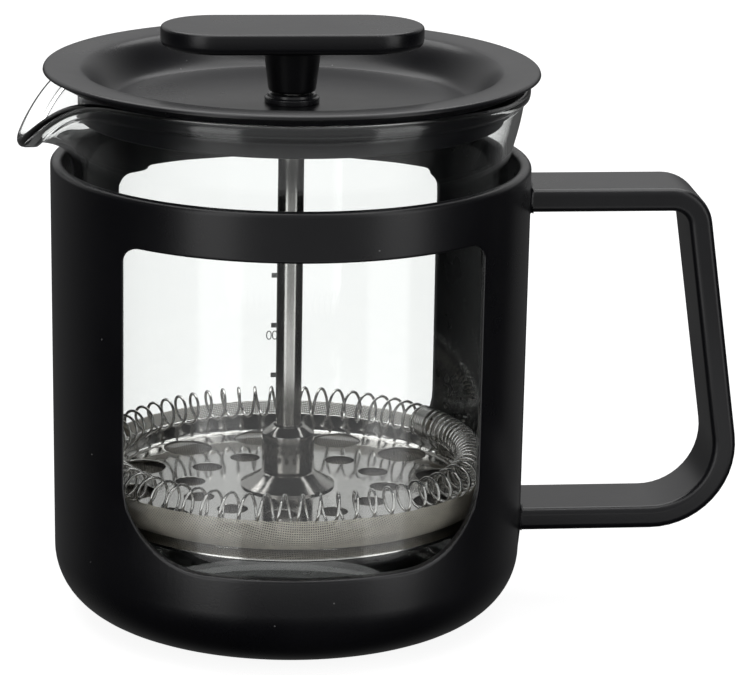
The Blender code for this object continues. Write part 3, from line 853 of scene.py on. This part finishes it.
# ---------------------------------------------------------------------------------------------
# Rod and filter stack


STACK_BORE = 2.8 * MM


def make_rod():
    """The rod, with the thin spigot at its top that the knob screws onto."""
    radius = ROD_HIGH.x
    spigot = 1.7 * MM
    shoulder = 103.0 * MM
    profile = rounded([
        (0.0, ROD_LOW.z), (radius, ROD_LOW.z), (radius, shoulder), (spigot, shoulder),
        (spigot, ROD_HIGH.z), (0.0, ROD_HIGH.z),
    ], [0.0, 0.4 * MM, 0.4 * MM, 0.1 * MM, 0.3 * MM, 0.0], steps=3, closed=False)
    rod = smooth(lathe("steel_rod", profile, 72, DRAWN, closed=False), 50)
    finished(rod, "plunger", "polished_steel", "plunger_rod")


def make_sleeve():
    outer = SLEEVE_HIGH.x
    chamfer = 1.5 * MM
    profile = rounded([
        (STACK_BORE, SLEEVE_LOW.z), (outer, SLEEVE_LOW.z), (outer, SLEEVE_HIGH.z - chamfer),
        (STACK_BORE + 0.35 * MM, SLEEVE_HIGH.z), (STACK_BORE, SLEEVE_HIGH.z),
    ], [0.1 * MM, 0.35 * MM, 0.25 * MM, 0.1 * MM, 0.1 * MM], steps=3)
    sleeve = smooth(lathe("steel_sleeve", profile, 80, SATIN), 50)
    finished(sleeve, "plunger", "brushed_steel", "lock_sleeve")


def make_hub():
    """The flared washer: a thin foot, then a wall that narrows to the sleeve's width."""
    top = CONE_HIGH.z
    low = CONE_LOW.z - 0.25 * MM
    foot = low + 0.3 * MM
    profile = [(STACK_BORE, low), (CONE_HIGH.x, low), (CONE_HIGH.x, foot)]
    for step in range(1, 9):
        share = step / 9
        flare = (CONE_HIGH.x - SLEEVE_HIGH.x) * (1 - share) ** 1.2
        profile.append((SLEEVE_HIGH.x + flare, foot + (top - low) * share * 0.88))
    profile += [(SLEEVE_HIGH.x - 0.1 * MM, top), (STACK_BORE, top)]
    cone = smooth(lathe("hub_flare", profile, 80, SATIN), 50)
    finished(cone, "filter", "brushed_steel", "hub_cone")


def hole_cutter(name, count, ring_radius, radius, first, low, high, sides):
    """Separate upright posts on a circle, as one cutter."""
    build = bmesh.new()
    for index in range(count):
        angle = first + TURN * index / count
        spot = (ring_radius * math.cos(angle), ring_radius * math.sin(angle), (low + high) / 2)
        bmesh.ops.create_cone(build, cap_ends=True, segments=sides, radius1=radius, radius2=radius,
                              depth=high - low, matrix=Matrix.Translation(spot))
    mesh = bpy.data.meshes.new(name)
    build.to_mesh(mesh)
    build.free()
    return link_object(name, mesh)


def make_spiral_plate():
    """Polished dished plate: flat, a shallow fold, a sloping wall and a rolled rim inside the coil."""
    sheet = 0.5 * MM
    top = round(SPIRAL_LOW.z + sheet, 6)
    upper = [(STACK_BORE, top), (35.0 * MM, top), (35.7 * MM, top + 0.05 * MM), (36.3 * MM, top + 0.35 * MM),
             (36.8 * MM, top + 0.9 * MM), (38.0 * MM, top + 2.6 * MM), (38.35 * MM, top + 2.95 * MM),
             (38.75 * MM, top + 3.0 * MM), (38.95 * MM, top + 2.75 * MM)]
    lower = [(38.85 * MM, top + 2.4 * MM), (38.5 * MM, top + 2.4 * MM), (37.3 * MM, top + 0.7 * MM),
             (36.7 * MM, top), (36.0 * MM, top - sheet + 0.08 * MM), (35.2 * MM, top - sheet),
             (STACK_BORE, top - sheet)]
    plate = lathe("spiral_disc", (upper + lower)[::-1], 192, POLISHED)
    low = top - 2 * MM
    high = top + 2 * MM
    boolean(plate, hole_cutter("large", 12, 30.9 * MM, 4.9 * MM, math.radians(6.3), low, high, 48))
    boolean(plate, hole_cutter("small", 12, 19.1 * MM, 2.95 * MM, math.radians(-8.1), low, high, 36))
    soften(plate, 0.12 * MM, segments=2, degrees=60)
    smooth(plate, 40)
    flat = plate.modifiers.new("normals", "WEIGHTED_NORMAL")
    flat.keep_sharp = True
    finished(plate, "filter", "polished_steel", "spiral_plate")


def within(angle, middle, half_width, edge):
    """1 within half_width of an angle, 0 away from it; all but angle in degrees."""
    away = abs((angle - math.radians(middle) + math.pi) % TURN - math.pi)
    return 1 / (1 + math.exp((away - math.radians(half_width)) / math.radians(edge)))


def coil_turns_per_radian(angle):
    """How closely the coil is wound at an angle round the ring: bunched up near its closed join."""
    plain = 10.6
    dense = 21.0
    tight = 62.0
    bunched = within(angle, 8, 24, 7)
    joined = within(angle, 32, 2.6, 0.3)
    return plain + (dense - plain) * bunched + (tight - dense) * joined


def make_coil():
    """The endless coil: one wire wound round a ring, wide apart except near its closed join."""
    samples = 7200
    angles = np.linspace(0, TURN, samples + 1)
    density = np.array([coil_turns_per_radian(a) for a in angles])
    wound = np.concatenate([[0.0], np.cumsum((density[1:] + density[:-1]) / 2 * TURN / samples)])
    turns = round(wound[-1])
    wound *= turns / wound[-1]
    per_turn = 20
    count = turns * per_turn
    ring_radius = 35.9 * MM
    middle = (COIL_LOW.z + COIL_HIGH.z) / 2
    coil_radius = 2.95 * MM
    curve = bpy.data.curves.new("spring_wire", "CURVE")
    curve.dimensions = "3D"
    spline = curve.splines.new("POLY")
    spline.points.add(count - 1)
    for index in range(count):
        wind = index / per_turn
        around = float(np.interp(wind, wound, angles))
        uneven = 0.12 * MM * math.sin(5 * around + 1.0) + 0.08 * MM * math.sin(11 * around)
        phase = TURN * wind
        radius = ring_radius + coil_radius * math.cos(phase) + uneven
        height = middle + coil_radius * math.sin(phase) + 0.1 * MM * math.sin(4 * around)
        spline.points[index].co = (radius * math.cos(around), radius * math.sin(around), height, 1.0)
    spline.use_cyclic_u = True
    curve.bevel_depth = 0.29 * MM
    curve.bevel_resolution = 2
    mesh = mesh_from_curve("coil_wire", curve)
    mesh.materials.clear()
    mesh.materials.append(WIRE)
    mesh.shade_smooth()
    finished(link_object("coil_wire", mesh), "filter", "polished_steel", "coil_spring")


def cloth_line():
    """The cloth's section from the middle out, round the corner and up, with the run along it."""
    inner = 2.9 * MM
    low = 22.7 * MM
    corner = 3.0 * MM
    radius = MESH_HIGH.x - 0.1 * MM
    high = MESH_HIGH.z
    line = [(inner + (radius - corner - inner) * step / 10, low) for step in range(10)]
    line += arc(radius - corner, low + corner, corner, -90, 0, 8)
    line += [(radius, low + corner + (high - low - corner) * step / 4) for step in range(1, 5)]
    runs = [inner]
    for before, after in zip(line, line[1:]):
        runs.append(runs[-1] + math.dist(before, after))
    return line, runs


def make_mesh_filter():
    """The woven dish as a thin closed sheet, with the flat cloth's plane as its UV map."""
    steps = 240
    line, runs = cloth_line()
    top = line[-1][1]
    verts = []
    flat = []
    for (radius, height), run in zip(line, runs):
        for step in range(steps):
            angle = TURN * step / steps
            ragged = 0.0
            if height == top:
                ragged = 0.03 * MM * (math.sin(37 * angle) + math.sin(53 * angle + 2) + math.sin(101 * angle))
            verts.append((radius * math.cos(angle), radius * math.sin(angle), height + ragged))
            flat.append((run / MM * math.cos(angle), run / MM * math.sin(angle)))
    cloth = add_mesh("woven_screen", verts, band_faces(len(line), steps), WOVEN)
    layer = cloth.data.uv_layers.new(name="cloth")
    for loop in cloth.data.loops:
        layer.data[loop.index].uv = flat[loop.vertex_index]
    wall = cloth.modifiers.new("sheet", "SOLIDIFY")
    wall.thickness = 0.12 * MM
    wall.offset = 0.0
    bake(cloth)
    cloth.data.shade_smooth()
    finished(cloth, "filter", "steel_mesh", "mesh_filter")


def make_cross_plate():
    top = CROSS_HIGH.z
    sheet = 0.5 * MM
    rim = CROSS_HIGH.x
    low = CROSS_LOW.z
    upper = [(STACK_BORE, top), (35.0 * MM, top), (36.6 * MM, top - 0.25 * MM), (37.8 * MM, top - 0.8 * MM),
             (rim - 0.1 * MM, low + 0.6 * MM), (rim, low + 0.3 * MM), (rim - 0.1 * MM, low)]
    lower = [(rim - 0.5 * MM, low + 0.05 * MM), (37.4 * MM, top - 1.3 * MM),
             (36.3 * MM, top - sheet - 0.3 * MM), (34.9 * MM, top - sheet), (STACK_BORE, top - sheet)]
    plate = lathe("cross_disc", (upper + lower)[::-1], 192, POLISHED)
    boolean(plate, hole_cutter("cross_holes", 8, 24.5 * MM, 6.2 * MM, 0.0, top - 2 * MM, top + MM, 48))
    soften(plate, 0.12 * MM, segments=2, degrees=60)
    smooth(plate, 40)
    finished(plate, "filter", "polished_steel", "cross_plate")


def make_nut():
    build = bmesh.new()
    corner = (NUT_HIGH.x - NUT_LOW.x) / 2 / math.cos(math.pi / 6)
    bmesh.ops.create_cone(build, cap_ends=True, segments=6, radius1=corner, radius2=corner,
                          depth=NUT_HIGH.z - NUT_LOW.z)
    mesh = bpy.data.meshes.new("hex_nut")
    build.to_mesh(mesh)
    build.free()
    nut = link_object("hex_nut", mesh)
    mesh.materials.append(BRUSHED)
    mesh.transform(Matrix.Translation((0.0, 0.0, (NUT_HIGH.z + NUT_LOW.z) / 2)))
    boolean(nut, hole_cutter("bore", 1, 0.0, STACK_BORE, 0.0, NUT_LOW.z - MM, NUT_HIGH.z + MM, 40))
    soften(nut, 0.3 * MM, segments=3, degrees=25)
    smooth(nut, 40)
    finished(nut, "filter", "brushed_steel", "fixing_nut")


# ---------------------------------------------------------------------------------------------
# Stage, light and camera


def make_stage():
    size = 3.0
    floor = add_mesh("floor", [(-size, -size, 0), (size, -size, 0), (size, size, 0), (-size, size, 0)],
                     [[0, 1, 2, 3]], floor_material())
    floor.location.z = -0.0002


def upright_strip(tree, heading, middle, half_width):
    """1 inside an upright light strip round one heading (degrees from the front), 0 away from it."""
    away = maths(tree, "ABSOLUTE", maths(tree, "SUBTRACT", heading, math.radians(middle)))
    edge = 3.0
    return fade(tree, away, math.radians(half_width - edge), math.radians(half_width + edge), 1.0, 0.0)


def studio_light(tree, split):
    """What reflections see: white behind, two strips and a dim fill in front, dark sides."""
    backdrop = fade(tree, split.outputs["Y"], 0.15, 0.8, 0.03, 0.55)
    behind = maths(tree, "MULTIPLY", backdrop, fade(tree, split.outputs["Z"], 0.06, 0.2, 0.16, 1.0))
    front = maths(tree, "MULTIPLY", split.outputs["Y"], -1.0)
    heading = maths(tree, "ARCTAN2", split.outputs["X"], front)
    left = upright_strip(tree, heading, -42.0, 12.5)
    right = upright_strip(tree, heading, 49.0, 12.5)
    fill = fade(tree, maths(tree, "ABSOLUTE", heading), math.radians(42), math.radians(72), 0.34, 0.0)
    strips = maths(tree, "ADD", maths(tree, "MULTIPLY", left, 1.6), maths(tree, "MULTIPLY", right, 1.4))
    lamps = maths(tree, "MAXIMUM", strips, fill)
    raised = fade(tree, split.outputs["Z"], -0.55, -0.12)
    return maths(tree, "ADD", behind, maths(tree, "MULTIPLY", lamps, raised))


def make_world():
    world = bpy.data.worlds.new("studio")
    world.use_nodes = True
    tree = world.node_tree
    tree.nodes.clear()
    coordinates = node(tree, "ShaderNodeTexCoord")
    direction = coordinates.outputs["Generated"]
    split = node(tree, "ShaderNodeSeparateXYZ", {"Vector": direction})
    bright = through_glass(tree, direction)
    white = node(tree, "ShaderNodeCombineColor", {0: bright, 1: bright, 2: bright})
    mix = node(tree, "ShaderNodeMixRGB", {"Fac": seen_directly(tree), "Color1": studio_light(tree, split),
                                          "Color2": white.outputs[0]})
    background = node(tree, "ShaderNodeBackground", {"Color": mix.outputs["Color"], "Strength": 1.0})
    node(tree, "ShaderNodeOutputWorld", {"Surface": background.outputs[0]})
    bpy.context.scene.world = world


def area_light(name, location, target, size, size_y, power):
    data = bpy.data.lights.new(name, "AREA")
    data.shape = "RECTANGLE"
    data.size = size
    data.size_y = size_y
    data.energy = power
    lamp = link_object(name, data)
    lamp.location = location
    lamp.rotation_euler = (Vector(target) - Vector(location)).to_track_quat("-Z", "Y").to_euler()


def make_light():
    """A large overhead box a little behind; the strips in front are part of the world."""
    area_light("top_box", (0.0, 0.2, 0.85), (0.0, 0.0, 0.05), 1.2, 1.0, 9.0)


def make_camera():
    """Placed as the photographer stood: a little left of the front, looking gently down."""
    data = bpy.data.cameras.new("camera")
    data.sensor_width = 36.0
    data.lens = 172.0
    data.clip_start = 0.05
    camera = link_object("camera", data)
    heading = math.radians(6.43)
    tilt = math.radians(15.40)
    roll = math.radians(1.06)
    turn = Matrix.Rotation(-heading, 4, "Z") @ Matrix.Rotation(math.pi / 2 - tilt, 4, "X")
    spot = Matrix.Translation((-58.5 * MM, -668.6 * MM, 238.4 * MM))
    camera.matrix_world = spot @ turn @ Matrix.Rotation(roll, 4, "Z")
    bpy.context.scene.camera = camera


def main():
    make_camera()
    make_holder()
    make_glass()
    make_marks()
    make_lid()
    make_bush()
    make_knob()
    make_rod()
    make_sleeve()
    make_hub()
    make_spiral_plate()
    make_coil()
    make_mesh_filter()
    make_cross_plate()
    make_nut()
    make_stage()
    make_world()
    make_light()
    bpy.context.scene.view_settings.view_transform = "Standard"


main()
